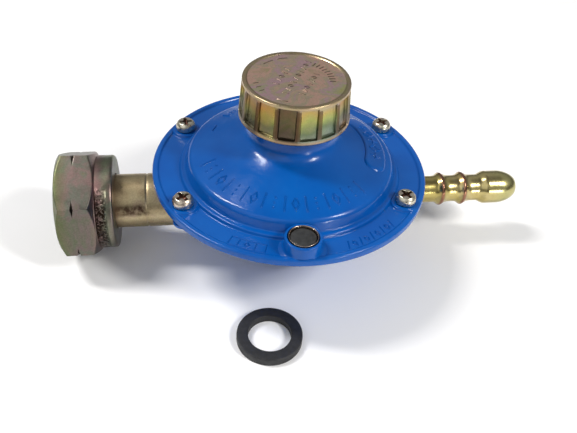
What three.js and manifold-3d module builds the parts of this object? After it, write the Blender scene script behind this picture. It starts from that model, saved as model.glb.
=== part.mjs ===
// Adjustable low-pressure LPG regulator, as an assembly of separate pieces.
// Millimetres, +Z up. The origin is the centre of the flat underside of the lower body, on the
// axis of the knob. Gas flows along +X, from the union nut to the hose barb.
import * as THREE from "three";
import { mergeVertices } from "three/addons/utils/BufferGeometryUtils.js";
import Module from "manifold-3d";

const wasm = await Module();
wasm.setup();

// ---- driving dimensions ----
const gap = 0.3; // clearance between pieces that touch or slide
const pipeZ = 18.4; // height of the inlet and outlet axis

const flangeR = 42; // cover flange
const flangeTop = 31; // top of the lip round the flange
const coverSeat = 28.6; // underside of the cover flange
const lipWidth = 1.7;
const lipHeight = 0.7;
const lipRound = 0.9;
const flangeFace = flangeTop - lipHeight; // sunken ring inside the lip
const boltCircle = 37.3;
const boltTurn = -2.4; // degrees that the screw circle is turned from the pipe axis
const screwAngles = [30, 90, 150, 210, 330].map((a) => a + boltTurn);
const screwShankR = 1.7;
const screwSeat = 31.1; // top of the small pads under the screw heads
const screwPadR = 4.4;
const screwHeadR = 3.1;
const screwHeadHeight = 2.55;
const cross = { arm: 1.7, half: 0.4, floor: 1.2 }; // recess for the screwdriver
const ventAngle = 270 + boltTurn;
const ventCircle = 36.7;
const ventTop = flangeTop + 3.8;
const ventCupR = 4.15;
const ventBossR = 5.2;
const ventPocketFloor = 30.6;
const ventFloorTop = 31.7;
const ventHoleR = 1;
const breatherR = 0.9;

const stepR = 33.7; // low step round the foot of the dome
const stepTop = 31.4;
const domeFootR = 32.2;
const domeEdgeR = 31;
const domeEdgeZ = 35;
const neckR = 12;
const neckFoot = { r: 17.2, z: 40.1 };
const neckTop = 54.5;
const neckBore = 9;
const wall = 2;

const bodyFlangeR = 38.8;
const bodySeat = 27.2; // top of the lower body
const bodyFlangeUnder = 24.8;
const bodyFloor = 3;
const bodyFootR = 13.4;
const inletBossR = 8.7;
const outletBossR = 6.8;
const valveBlockR = 6.2;
const bossFace = 35; // distance from the knob axis to the end of both pipe bosses
const screwBossLow = 24;

const diaphragmThick = 0.8;
const diaphragmCentre = 25.2; // underside of its flat middle, with no gas pressure
const diaphragmMiddleR = 23;
const plateR = 22;
const postR = 1.6;
const postFlangeR = 2.6;
const postHole = postR + gap;

const mainSpring = { meanR: 7.1, wireR: 0.75, low: 27.5, high: 44, turns: 6 };
const reliefSpring = { meanR: 2.9, wireR: 0.35, low: 27.5, high: 33.1, turns: 4 };

const knobBottom = 49.3;
const knobTop = 61;
const knobBottomR = 16.3;
const knobTopR = 15.4;
const knobFlutes = 16;
const knobFluteTurn = -95.1 + 360 / 32; // degrees, the middle of one flute
const knobWall = 1.8;
const knobRimR = 13.7;
const knobDish = 0.35; // depth of the round face inside the rim
const knobHubR = 7;
const panelWidth = 4.9;
const panelLength = 8.8;
const plugBottom = 46.3;
const spigotR = 4;

const stemR = 8.3;
const stemBore = 3.5;
const stemThreadR = 5.6;
const seatFace = -60.6; // stem face that the washer seals against
const shoulderR = 10.3;
const shoulderBack = -58.6;

const stemEnd = -bossFace - 1.4; // shoulder that clamps the seal against the inlet boss

const nutFlats = 30;
const nutFront = -70;
const nutHexEnd = -58.7;
const nutBack = -53.5;
const nutCollarR = 14.3;
const nutChamferR = 14.6;
const nutNotchR = 16.1;
const nutThreadR = 10.9; // W21.8 left-hand thread, at its major diameter
const nutShoulder = -57.1;
const nutCorner = 33; // degrees above -Y of one corner of the hexagon

const washer = { outer: 9.6, inner: 6.3, thick: 2.6, x: -9.9, y: -42.9 };

const filterR = 3.1;
const filterMeshR = 2.1;

const barbR = 4.35;
const barbFlangeR = 5.8;
const ridgeR = 5.42;
const barbBore = 2.6;
const barbThreadR = 5;
const barbTip = 76.5;

const leverPin = { x: -14, z: 11.9, r: 1 };
const valveFace = -18.5; // lip of the orifice nozzle
const valveLift = 1.2;
const guideBore = 4.2;
const slideR = 3.8;
const padR = 2.9;
const padThick = 1.8;
const nozzleR = 3.3;
const orificeR = 0.9;

// ---- materials ----
const metal = (color, roughness) => new THREE.MeshStandardMaterial({ color, roughness, metalness: 1 });
const dull = (color, roughness) => new THREE.MeshStandardMaterial({ color, roughness, metalness: 0 });
const bluePaint = () => dull(0x1d62b7, 0.25);
const yellowZinc = () => metal(0xa08a5e, 0.38);
const brightZinc = () => metal(0xb4b0a4, 0.35);
const brass = () => metal(0xc2a24a, 0.35);
const springSteel = () => metal(0x8c8f94, 0.3);
const blackRubber = () => dull(0x1c1d20, 0.75);
const greyPlug = () => dull(0x35373a, 0.6);

// ---- solids ----
const rad = THREE.MathUtils.degToRad;

// A geometry as a manifold-3d solid, with its faces pointing out.
function solid(geometry) {
  const bare = geometry.index ? geometry.toNonIndexed() : geometry.clone();
  bare.deleteAttribute("normal");
  bare.deleteAttribute("uv");
  const merged = mergeVertices(bare, 1e-4);
  const corners = merged.index.array;
  const kept = [];
  for (let i = 0; i < corners.length; i += 3) {
    const [a, b, c] = [corners[i], corners[i + 1], corners[i + 2]];
    if (a !== b && b !== c && c !== a) kept.push(a, b, c);
  }
  const build = (tris) =>
    new wasm.Manifold(
      new wasm.Mesh({
        numProp: 3,
        vertProperties: new Float32Array(merged.attributes.position.array),
        triVerts: new Uint32Array(tris),
      }),
    );
  const made = build(kept);
  if (made.volume() > 0) return made;
  return build(kept.reverse());
}

// A profile of [radius, height] points turned about Z. It starts and ends on the axis, or closes.
function turnedZ(profile, segments) {
  const points = profile.map(([r, z]) => new THREE.Vector2(r, z));
  return solid(new THREE.LatheGeometry(points, segments).rotateX(Math.PI / 2));
}

// A profile of [x, radius] points turned about the pipe axis.
function turnedX(profile, segments) {
  const points = profile.map(([x, r]) => new THREE.Vector2(r, x));
  const shape = new THREE.LatheGeometry(points, segments).rotateZ(-Math.PI / 2);
  return solid(shape.rotateX(Math.PI / 2).translate(0, 0, pipeZ));
}

const ring = (inner, outer, low, high) => [[inner, low], [outer, low], [outer, high], [inner, high], [inner, low]];
const ringX = (inner, outer, low, high) => ring(inner, outer, low, high).map(([r, x]) => [x, r]);
const rodZ = (r, low, high, segments) => turnedZ([[0, low], [r, low], [r, high], [0, high]], segments);
const rodX = (r, low, high, segments) => turnedX([[low, 0], [low, r], [high, r], [high, 0]], segments);

// Points of an arc in a profile, angles in degrees from the profile's first direction.
function arc(a, b, r, from, to, steps) {
  const points = [];
  for (let i = 0; i <= steps; i++) {
    const t = rad(from + ((to - from) * i) / steps);
    points.push([a + r * Math.cos(t), b + r * Math.sin(t)]);
  }
  return points;
}

function box(x0, x1, y0, y1, z0, z1) {
  const shape = new THREE.BoxGeometry(x1 - x0, y1 - y0, z1 - z0);
  return solid(shape.translate((x0 + x1) / 2, (y0 + y1) / 2, (z0 + z1) / 2));
}

const turn = (s, degrees) => s.rotate([0, 0, degrees]);
const onBoltCircle = (s, degrees) => turn(s.translate([boltCircle, 0, 0]), degrees);
const atVent = (s) => turn(s.translate([ventCircle, 0, 0]), ventAngle);

// A coil spring about Z, swept from one round wire section.
function coil({ meanR, wireR, low, high, turns }) {
  const stepsPerTurn = 12;
  const points = [];
  const steps = turns * stepsPerTurn;
  for (let i = 0; i <= steps; i++) {
    const t = (2 * Math.PI * i) / stepsPerTurn;
    const z = low + wireR + ((high - low - 2 * wireR) * i) / steps;
    points.push(new THREE.Vector3(meanR * Math.cos(t), meanR * Math.sin(t), z));
  }
  const section = new THREE.Shape();
  section.absarc(0, 0, wireR, 0, 2 * Math.PI);
  const path = new THREE.CatmullRomCurve3(points);
  return solid(new THREE.ExtrudeGeometry(section, { steps, curveSegments: 3, extrudePath: path }));
}

const assembly = new THREE.Group();

function add(name, piece, material) {
  const mesh = piece.getMesh();
  const geometry = new THREE.BufferGeometry();
  geometry.setAttribute("position", new THREE.BufferAttribute(new Float32Array(mesh.vertProperties), 3));
  geometry.setIndex(new THREE.BufferAttribute(new Uint32Array(mesh.triVerts), 1));
  geometry.computeVertexNormals();
  const node = new THREE.Mesh(geometry, material);
  node.name = name;
  assembly.add(node);
}

// ---- lower body: a cast bowl with a flange, an inlet boss and an outlet boss ----
function lowerBody() {
  const bowl = turnedZ(
    [
      [0, 0], [bodyFootR, 0], [bodyFootR + 1, 0.6], [19, 5.6], [24, 10.7], [29, 16], [32.4, 20.4],
      [33, bodyFlangeUnder],
      [bodyFlangeR - 1.2, bodyFlangeUnder], [bodyFlangeR, bodyFlangeUnder + 1.4], [bodyFlangeR, bodySeat],
      [31, bodySeat], [29.8, 20.6], [27, 17], [18, 7.8], [13, bodyFloor], [0, bodyFloor],
    ],
    40,
  );
  const inletBoss = rodX(inletBossR, -bossFace, -30.5, 32).add(rodX(7.2, -bossFace, -27.3, 28));
  const valveBlock = rodX(valveBlockR, -28, -11, 28).add(box(-21, -11, -valveBlockR, valveBlockR, 9.4, pipeZ));
  const outletBoss = rodX(outletBossR, 25, bossFace, 28);
  let body = bowl.add(inletBoss).add(valveBlock).add(outletBoss);
  const screwBoss = rodZ(screwShankR + gap + 1.2, screwBossLow, bodySeat, 16);
  const screwHole = rodZ(screwShankR + gap, screwBossLow - 1, bodySeat + 1, 12);
  for (const angle of screwAngles) body = body.add(onBoltCircle(screwBoss, angle));
  for (const angle of screwAngles) body = body.subtract(onBoltCircle(screwHole, angle));
  const threadEnd = -28.3;
  const nozzleEnd = -22.4;
  const stemHole = rodX(stemThreadR + gap, -bossFace - 1, threadEnd, 28);
  const nozzleHole = rodX(nozzleR + gap, threadEnd - 1, nozzleEnd, 20);
  const guide = rodX(guideBore, nozzleEnd - 1, -10, 20);
  const stemRelief = rodX(stemR + 0.7, -50, -bossFace, 32); // hollow under the flange where the stem passes
  const outletHole = rodX(barbThreadR + gap, 30, bossFace + 1, 24);
  const outletPassage = rodX(barbBore, 24, 31, 20);
  const leverSlot = box(-16.9, -10, -1.9, 1.9, 8, pipeZ);
  const pinHole = solid(
    new THREE.CylinderGeometry(leverPin.r + gap, leverPin.r + gap, 20, 12).translate(leverPin.x, 0, leverPin.z),
  );
  for (const cut of [stemHole, stemRelief, nozzleHole, guide, outletHole, outletPassage, leverSlot, pinHole]) {
    body = body.subtract(cut);
  }
  return body;
}

// ---- cover: flange with a lip, dome, neck and vent boss ----
function cover() {
  const rootR = 5.4; // hollow round that runs from the dome up into the neck
  const outside = [
    ...arc(flangeR - lipRound, flangeTop - lipRound, lipRound, 0, 90, 3),
    [flangeR - lipWidth + 0.2, flangeTop],
    [flangeR - lipWidth - 0.4, flangeFace],
    [stepR + 0.2, flangeFace], [stepR - 0.3, stepTop], [domeFootR, stepTop],
    [domeEdgeR + 0.15, domeEdgeZ - 0.8], [domeEdgeR - 0.7, domeEdgeZ],
    [neckFoot.r, neckFoot.z],
    ...arc(neckR + rootR, neckFoot.z + rootR - 0.35, rootR, 250, 180, 4),
    [neckR, neckTop],
  ];
  const inside = [
    [neckBore, neckTop], [neckBore, 38.2], [15, 37.9], [28.9, domeEdgeZ - wall + 0.2], [30, coverSeat],
  ];
  const shell = [[flangeR, coverSeat + 0.8], ...outside, ...inside, [flangeR - 0.8, coverSeat]];
  let piece = turnedZ([...shell, shell[0]], 48);
  const screwPad = turnedZ([[0, 29], [screwPadR + 0.2, 29], [screwPadR, screwSeat], [0, screwSeat]], 20);
  const screwHole = rodZ(screwShankR + gap, coverSeat - 1, 40, 12);
  for (const angle of screwAngles) {
    piece = piece.add(onBoltCircle(screwPad, angle));
    piece = piece.subtract(onBoltCircle(screwHole, angle));
  }
  const ventBoss = rodZ(ventBossR, coverSeat, ventTop, 28);
  const pocket = rodZ(ventCupR + gap, ventPocketFloor, 40, 24);
  const drill = new THREE.CylinderGeometry(breatherR, breatherR, 12, 10).rotateZ(Math.PI / 2);
  const breather = solid(drill.translate(-7, 0, 32.2));
  return piece.add(atVent(ventBoss)).subtract(atVent(pocket.add(breather)));
}

// ---- pan-head screw with a cross recess, pointing down, origin under its head ----
function screw() {
  const length = screwSeat - screwBossLow;
  const shank = [[0, -length], [screwShankR - 0.4, -length], [screwShankR, 0.5 - length], [screwShankR, 0]];
  const head = [[screwHeadR, 0], [screwHeadR, 1.5], [2.6, 2.2], [1.6, 2.5], [0, screwHeadHeight]];
  const arm = box(-cross.arm, cross.arm, -cross.half, cross.half, cross.floor, screwHeadHeight + 1);
  const arms = arm.add(turn(arm, 90));
  return turnedZ([...shank, ...head], 18).subtract(arms);
}

// ---- knob: fluted cap with a hub that is pressed on the adjusting screw ----
function knob() {
  const roof = knobTop - knobWall;
  const cap = turnedZ(
    [
      [13.8, knobBottom], [knobBottomR, knobBottom], [knobBottomR, knobBottom + 1.2],
      [knobTopR, knobTop - 0.6], [knobTopR - 0.6, knobTop], [knobRimR, knobTop],
      [knobRimR - 0.3, knobTop - knobDish], [0, knobTop - knobDish], [0, roof], [13.4, roof], [13.8, knobBottom],
    ],
    64,
  );
  const slope = Math.atan((knobBottomR - knobTopR) / (knobTop - knobBottom));
  const panelBox = new THREE.BoxGeometry(4, panelWidth, panelLength).rotateY(-slope);
  const panel = panelBox.translate(17.05, 0, (knobBottom + knobTop) / 2 + 0.2);
  let piece = cap;
  for (let i = 0; i < knobFlutes; i++) {
    piece = piece.subtract(turn(solid(panel), knobFluteTurn + (i * 360) / knobFlutes));
  }
  const hub = turnedZ(ring(spigotR + gap, knobHubR, 55.3, roof + 0.2), 24);
  return piece.add(hub);
}

// ---- adjusting screw: threaded plug that drives the spring seat, with a spigot for the knob ----
function adjustingScrew() {
  return turnedZ(
    [
      [0, plugBottom], [7.6, plugBottom], [neckBore - gap, plugBottom + 0.9], [neckBore - gap, 52.4], [7.8, 53.2],
      [spigotR, 53.2], [spigotR, 58.6], [0, 58.6],
    ],
    32,
  );
}

const springSeat = () =>
  turnedZ([[0, 43.6], [6, 43.6], [6, 44.4], [8.4, 44.4], [8.4, 45.6], [2, 45.6], [0, 46]], 28);

// ---- diaphragm and what is clamped to it ----
function diaphragm() {
  const rimLow = bodySeat + gap;
  const rimHigh = rimLow + diaphragmThick;
  const middleTop = diaphragmCentre + diaphragmThick;
  let piece = turnedZ(
    [
      [postHole, diaphragmCentre], [diaphragmMiddleR, diaphragmCentre], [28.5, rimLow], [bodyFlangeR, rimLow],
      [bodyFlangeR, rimHigh], [28, rimHigh], [diaphragmMiddleR - 0.5, middleTop],
      [postHole, middleTop], [postHole, diaphragmCentre],
    ],
    36,
  );
  const screwHole = rodZ(screwShankR + gap, 20, 40, 10);
  for (const angle of screwAngles) piece = piece.subtract(onBoltCircle(screwHole, angle));
  return piece;
}

const diaphragmPlate = () =>
  turnedZ(
    [
      [postHole, 26.3], [plateR - 0.5, 26.3], [plateR, 27.4], [plateR - 0.8, 27.4], [plateR - 1.2, 27.1],
      [postHole, 27.1], [postHole, 26.3],
    ],
    36,
  );

// Flanged post: its foot is held by the fork of the lever.
const diaphragmPost = () =>
  turnedZ(
    [
      [0, 10], [postFlangeR, 10], [postFlangeR, 10.7], [postR - 0.1, 10.7], [postR - 0.1, 13.4],
      [postFlangeR, 13.4], [postFlangeR, 14.2], [postR, 14.2],
      [postR, 23.7], [7, 23.7], [7, 24.9], [postR, 24.9], [postR, 36], [0, 36],
    ],
    16,
  );

function reliefNut() {
  const across = 5.5 / Math.sqrt(3);
  return turnedZ([[0, 33.5], [across, 33.5], [across, 35.4], [0, 35.4]], 6).subtract(rodZ(postHole, 33, 36, 12));
}

// ---- lever: crank on a cross pin, one arm in the valve slide, the other round the post ----
function lever() {
  const hub = solid(new THREE.CylinderGeometry(2, 2, 3, 14).translate(leverPin.x, 0, leverPin.z));
  const upright = box(leverPin.x - 0.7, leverPin.x + 0.7, -1.5, 1.5, leverPin.z, pipeZ + 0.6);
  const arm = box(leverPin.x, -2, -1.5, 1.5, leverPin.z - 0.5, leverPin.z + 0.5);
  const fork = box(-3.4, 2.4, -3.4, 3.4, leverPin.z - 0.5, leverPin.z + 0.5);
  const slot = box(-2.2, 4, -1.9, 1.9, 0, 30);
  const eye = solid(new THREE.CylinderGeometry(1.3, 1.3, 8, 12).translate(leverPin.x, 0, leverPin.z));
  return hub.add(upright).add(arm).add(fork.subtract(slot)).subtract(eye);
}

const leverPinPiece = () =>
  solid(new THREE.CylinderGeometry(leverPin.r, leverPin.r, 12.4, 12).translate(leverPin.x, 0, leverPin.z));

// ---- valve ----
function valveSlide() {
  const open = valveFace + valveLift + gap; // face of the pad at rest
  const slide = rodX(slideR, open + 1, -10.6, 20);
  const padSeat = rodX(padR + gap, open, open + padThick + gap, 20);
  const leverGroove = box(leverPin.x - 1.6, leverPin.x + 1.6, -2, 2, 0, pipeZ + 1.2);
  return slide.subtract(padSeat).subtract(leverGroove);
}

function valvePad() {
  const open = valveFace + valveLift + gap;
  return rodX(padR, open, open + padThick, 18);
}

const orificeNozzle = () =>
  turnedX(
    [
      [-27, 1.2], [-25.6, 1.2], [valveFace, orificeR], [valveFace, 1.5], [-19.3, 2.2], [-20.4, 2.2],
      [-20.4, nozzleR], [-27, nozzleR], [-27, 1.2],
    ],
    20,
  );

// ---- inlet: stem, filter, washer, union nut ----
const inletStem = () =>
  turnedX(
    [
      [seatFace, stemBore], [seatFace, shoulderR - 0.4], [seatFace + 0.4, shoulderR], [shoulderBack, shoulderR],
      [shoulderBack, stemR], [-44.4, stemR], [-44.2, stemR - 0.2], [-43.9, stemR - 0.2], [-43.7, stemR],
      [stemEnd, stemR], [stemEnd, stemThreadR], [-28.9, stemThreadR], [-28.9, stemBore], [seatFace, stemBore],
    ],
    32,
  );

const inletFilter = () =>
  turnedX(
    [
      [-59.5, filterMeshR], [-59.5, filterR], [-50, filterR], [-48.6, 1.9], [-48.6, 0], [-49.6, 0], [-49.6, 1.2],
      [-50.4, filterMeshR], [-59.5, filterMeshR],
    ],
    18,
  );

const stemSeal = () => turnedX(ringX(stemThreadR + gap, stemR - 0.1, stemEnd + gap, -bossFace - gap), 28);

function unionNut() {
  const cornerR = nutFlats / Math.sqrt(3);
  // A six-sided lathe has a corner every 60 degrees. The chamfers at its two ends cut its corners.
  const hex = rodX(cornerR, nutFront, nutHexEnd, 6).translate([0, 0, -pipeZ]).rotate([-nutCorner, 0, 0]);
  const chamfer = turnedX(
    [[nutFront, 0], [nutFront, nutChamferR], [nutFront + 1.7, cornerR + 0.1], [nutHexEnd - 1.7, cornerR + 0.1],
      [nutHexEnd, nutChamferR], [nutHexEnd, 0]],
    48,
  );
  const collar = turnedX(
    [[nutHexEnd - 2, 0], [nutHexEnd - 2, nutCollarR], [nutBack - 0.8, nutCollarR],
      [nutBack, nutCollarR - 0.8], [nutBack, 0]],
    48,
  );
  const middle = (nutFront + nutHexEnd) / 2 - 0.3;
  const beyond = cornerR + 1.2;
  const vee = [[middle, nutNotchR], [middle + 0.9, beyond], [middle - 0.9, beyond], [middle, nutNotchR]];
  const notch = turnedX(vee, 48);
  const bore = turnedX(
    [
      [nutFront - 1, 0], [nutFront - 1, nutThreadR + 1.4], [nutFront + 1.2, nutThreadR], [nutShoulder, nutThreadR],
      [nutShoulder, stemR + gap + 0.05], [nutBack + 1, stemR + gap + 0.05], [nutBack + 1, 0],
    ],
    40,
  );
  const blank = hex.translate([0, 0, pipeZ]).intersect(chamfer).add(collar);
  return blank.subtract(notch).subtract(bore);
}

const slipRing = () => turnedX(ringX(stemR + gap, shoulderR + 0.2, shoulderBack + gap, nutShoulder - gap), 32);

function inletWasher() {
  const { outer, inner, thick, x, y } = washer;
  return turnedZ(ring(inner, outer, 0, thick), 40).translate([x, y, 0]);
}

// ---- outlet: hose barb and its seal ----
// A barb rises steeply on the side of the body and falls gently towards the tip.
const ridge = (x) => [
  [x, barbR], [x + 0.9, ridgeR - 0.15], [x + 1.4, ridgeR], [x + 2.2, ridgeR - 0.25], [x + 4, barbR],
];

const outletBarb = () =>
  turnedX(
    [
      [31, barbBore], [31, barbThreadR], [bossFace + 1.4, barbThreadR], [bossFace + 1.4, barbFlangeR],
      [38.6, barbFlangeR],
      [39.2, barbR],
      ...ridge(49.2), ...ridge(56.6),
      [64.3, barbR], [65.4, ridgeR - 0.2], [66.6, ridgeR], [70, ridgeR],
      [72.6, 5.1], [74.8, 4.4], [76, 3.6], [barbTip, 3.1], [barbTip, barbBore], [31, barbBore],
    ],
    24,
  );

const barbSeal = () => turnedX(ringX(barbThreadR + gap, 6.4, bossFace + gap, bossFace + 1.1), 24);

// ---- vent: plated cup with a porous disc ----
const ventCup = () =>
  turnedZ(
    [
      [ventHoleR, ventPocketFloor + gap], [ventCupR, ventPocketFloor + gap], [ventCupR, ventTop + 0.2],
      [ventCupR - 0.3, ventTop + 0.3], [ventCupR - 0.5, ventTop - 0.1], [ventCupR - 0.5, ventFloorTop],
      [ventHoleR, ventFloorTop], [ventHoleR, ventPocketFloor + gap],
    ],
    28,
  );
const ventDisc = () => rodZ(ventCupR - 0.5 - gap, ventFloorTop + gap, ventTop - 0.1, 24);

// ---- assembly ----
add("lower_body", lowerBody(), bluePaint());
add("cover", cover(), bluePaint());
screwAngles.forEach((angle, i) => {
  const placed = onBoltCircle(turn(screw(), 25 * i).translate([0, 0, screwSeat + gap]), angle);
  add(`cover_screw_${i + 1}`, placed, brightZinc());
});
add("knob", knob(), yellowZinc());
add("adjusting_screw", adjustingScrew(), brass());
add("spring_seat", springSeat(), brightZinc());
add("main_spring", coil(mainSpring), springSteel());
add("diaphragm", diaphragm(), blackRubber());
add("diaphragm_plate", diaphragmPlate(), brightZinc());
add("diaphragm_post", diaphragmPost(), brass());
add("relief_spring", coil(reliefSpring), springSteel());
add("relief_nut", reliefNut(), brass());
add("lever", lever(), brightZinc());
add("lever_pin", leverPinPiece(), springSteel());
add("valve_slide", valveSlide(), brass());
add("valve_pad", valvePad(), blackRubber());
add("orifice_nozzle", orificeNozzle(), brass());
add("inlet_stem", inletStem(), yellowZinc());
add("inlet_filter", inletFilter(), brass());
add("stem_seal", stemSeal(), metal(0xb06a45, 0.4));
add("union_nut", unionNut(), yellowZinc());
add("nut_slip_ring", slipRing(), brass());
add("inlet_washer", inletWasher(), blackRubber());
add("outlet_barb", outletBarb(), yellowZinc());
add("barb_seal", barbSeal(), metal(0xb06a45, 0.4));
add("vent_cup", atVent(ventCup()), brightZinc());
add("vent_disc", atVent(ventDisc()), greyPlug());

export default assembly;
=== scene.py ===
import math

import bmesh
import bpy
import numpy as np
from mathutils import Matrix, Vector


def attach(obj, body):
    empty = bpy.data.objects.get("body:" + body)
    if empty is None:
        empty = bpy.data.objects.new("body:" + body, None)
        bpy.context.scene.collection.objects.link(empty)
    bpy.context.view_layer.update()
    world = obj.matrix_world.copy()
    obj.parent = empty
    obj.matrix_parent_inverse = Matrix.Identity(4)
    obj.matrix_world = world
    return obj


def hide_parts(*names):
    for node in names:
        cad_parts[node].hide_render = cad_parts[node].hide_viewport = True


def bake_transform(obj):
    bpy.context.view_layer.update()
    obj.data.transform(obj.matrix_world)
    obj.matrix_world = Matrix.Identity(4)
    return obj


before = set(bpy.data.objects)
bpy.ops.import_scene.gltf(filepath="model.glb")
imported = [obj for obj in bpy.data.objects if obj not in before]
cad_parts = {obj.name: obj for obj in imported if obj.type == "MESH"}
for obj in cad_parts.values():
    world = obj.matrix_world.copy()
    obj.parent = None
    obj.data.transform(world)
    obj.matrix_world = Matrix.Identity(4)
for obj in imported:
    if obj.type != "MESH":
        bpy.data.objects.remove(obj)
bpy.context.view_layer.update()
print("frame loaded:", len(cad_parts), "nodes")

mm = 0.001
fullTurn = 2 * math.pi
pipeHeight = 18.4      # the stem, the nut and the barb share this axis, along X


def gridQuads(rows, cols, closedRows, closedCols):
    # each quad joins a grid point to its next row and next column, going round where the grid closes
    index = np.arange(rows * cols).reshape(rows, cols)
    nextRow = np.roll(index, -1, 0)
    quads = np.stack([index, nextRow, np.roll(nextRow, -1, 1), np.roll(index, -1, 1)], -1)
    if not closedRows:
        quads = quads[:-1]
    if not closedCols:
        quads = quads[:, :-1]
    return quads.reshape(-1, 4)


def facingOut(points, quads):
    # the sum of the tetrahedra from the middle to every quad is negative when a shell is inside out
    p = (points - points.mean(0))[quads]
    volume = (p[:, 0] * np.cross(p[:, 1], p[:, 2])).sum() + (p[:, 0] * np.cross(p[:, 2], p[:, 3])).sum()
    return quads if volume > 0 else quads[:, ::-1]


def makePiece(name, shells, material, replaced=(), sharp=32):
    # joins shells into one mesh: each is a grid of points in millimetres, its two closings, and where
    # the material needs one, a shade from 0 to 1 at every point
    points, faces, shades, start = [], [], [], 0
    for grid, closedRows, closedCols, *shade in shells:
        flat = grid.reshape(-1, 3)
        quads = facingOut(flat, gridQuads(grid.shape[0], grid.shape[1], closedRows, closedCols))
        points.append(flat)
        faces.append(quads + start)
        shades.append(shade[0].reshape(-1) if shade else np.zeros(len(flat)))
        start += len(flat)
    mesh = bpy.data.meshes.new(name)
    mesh.from_pydata((np.concatenate(points) * mm).tolist(), [], np.concatenate(faces).tolist())
    shadeValues = mesh.attributes.new("shade", "FLOAT", "POINT")
    shadeValues.data.foreach_set("value", np.concatenate(shades).astype(np.float32))
    work = bmesh.new()
    work.from_mesh(mesh)
    bmesh.ops.remove_doubles(work, verts=work.verts, dist=3e-7)
    work.to_mesh(mesh)
    work.free()
    mesh.polygons.foreach_set("use_smooth", np.ones(len(mesh.polygons), bool))
    mesh.set_sharp_from_angle(angle=math.radians(sharp))
    mesh.materials.append(material)
    piece = bpy.data.objects.new(name, mesh)
    bpy.context.scene.collection.objects.link(piece)
    if replaced:
        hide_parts(*replaced)
    return piece


def softProfile(corners, closed=False, steps=5):
    # each corner (a, b, cut) becomes a quadratic curve from cut before it to cut after it
    corners = np.array(corners, float)
    points, cuts = corners[:, :2], corners[:, 2:3]
    before = np.roll(points, 1, 0) - points
    after = np.roll(points, -1, 0) - points
    lengthBefore = np.maximum(np.linalg.norm(before, axis=1, keepdims=True), 1e-9)
    lengthAfter = np.maximum(np.linalg.norm(after, axis=1, keepdims=True), 1e-9)
    start = points + before / lengthBefore * np.minimum(cuts, 0.48 * lengthBefore)
    end = points + after / lengthAfter * np.minimum(cuts, 0.48 * lengthAfter)
    t = np.linspace(0, 1, steps + 1)[None, :, None]
    curve = (1 - t) ** 2 * start[:, None] + 2 * t * (1 - t) * points[:, None] + t ** 2 * end[:, None]
    curve = curve.reshape(-1, 2)
    moved = np.linalg.norm(np.diff(curve, axis=0), axis=1) > 1e-5
    curve = curve[np.concatenate([[True], moved])]
    if closed and np.linalg.norm(curve[0] - curve[-1]) < 1e-5:
        curve = curve[:-1]
    return curve


def spinZ(profile, segments, centre=(0.0, 0.0)):
    # a profile of (radius, height) turned about a vertical axis through centre
    angle = np.linspace(0, fullTurn, segments, endpoint=False)[:, None]
    radius, height = profile[:, 0][None, :], profile[:, 1][None, :]
    x = centre[0] + np.cos(angle) * radius
    y = centre[1] + np.sin(angle) * radius
    return np.stack([x, y, np.broadcast_to(height, x.shape)], -1)


def spinX(profile, segments):
    # a profile of (x, radius) turned about the pipe axis
    angle = np.linspace(0, fullTurn, segments, endpoint=False)[:, None]
    along, radius = profile[:, 0][None, :], profile[:, 1][None, :]
    y = np.cos(angle) * radius
    z = pipeHeight + np.sin(angle) * radius
    return np.stack([np.broadcast_to(along, y.shape), y, z], -1)


def smoothStep(low, high, value):
    # 0 at low, 1 at high, with an s-shaped curve between them
    t = np.clip((value - low) / (high - low), 0, 1)
    return t * t * (3 - 2 * t)


def polar(radius, degrees):
    # the point at a distance from the axis, at an angle counted from +X towards +Y
    angle = np.radians(degrees)
    return np.stack([radius * np.cos(angle), radius * np.sin(angle)], -1)


def ridge(path, surface, width, height, flat=0.0, sink=0.35, spacing=0.35):
    # a path in plan carried over a surface: its section is highest in the middle and falls to the
    # surface at half the width, and each end is a half round of the same section
    path = np.array(path, float)
    step = np.linalg.norm(np.diff(path, axis=0), axis=1)
    travelled = np.concatenate([[0], np.cumsum(step)])
    count = max(3, int(travelled[-1] / spacing) + 2)
    place = np.linspace(0, travelled[-1], count)
    line = np.stack([np.interp(place, travelled, path[:, 0]), np.interp(place, travelled, path[:, 1])], -1)
    tangent = np.gradient(line, axis=0)
    tangent /= np.maximum(np.linalg.norm(tangent, axis=1, keepdims=True), 1e-9)
    cap = np.radians([90, 70, 48, 25])
    line = np.concatenate([np.repeat(line[:1], 4, 0), line, np.repeat(line[-1:], 4, 0)])
    tangent = np.concatenate([np.repeat(tangent[:1], 4, 0), tangent, np.repeat(tangent[-1:], 4, 0)])
    beyond = np.concatenate([-np.sin(cap), np.zeros(count), np.sin(cap[::-1])])[:, None]
    narrow = np.concatenate([np.cos(cap), np.ones(count), np.cos(cap[::-1])])[:, None]
    narrow[0] = narrow[-1] = 0
    side = np.stack([-tangent[:, 1], tangent[:, 0]], -1)
    across = np.array([-1, -0.86, -0.66, -0.4, 0, 0.4, 0.66, 0.86, 1])[None, :]
    offset = across * narrow * width / 2
    plan = (line + tangent * beyond * width / 2)[:, None] + side[:, None] * offset[..., None]
    reach = np.sqrt(beyond ** 2 + (across * narrow) ** 2)
    rise = height * (1 - smoothStep(flat, 1.0, reach))
    ground = surface(plan[..., 0], plan[..., 1])
    top = np.concatenate([plan, (ground + rise)[..., None]], -1)
    bottom = np.concatenate([plan, (ground - sink)[..., None]], -1)[:, ::-1]
    return np.concatenate([top, bottom], 1), False, True


def addNode(tree, kind, inputs=None, **settings):
    node = tree.nodes.new(kind)
    for key, value in settings.items():
        setattr(node, key, value)
    for key, value in (inputs or {}).items():
        if isinstance(value, bpy.types.NodeSocket):
            tree.links.new(value, node.inputs[key])
        else:
            node.inputs[key].default_value = value
    return node


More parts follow.
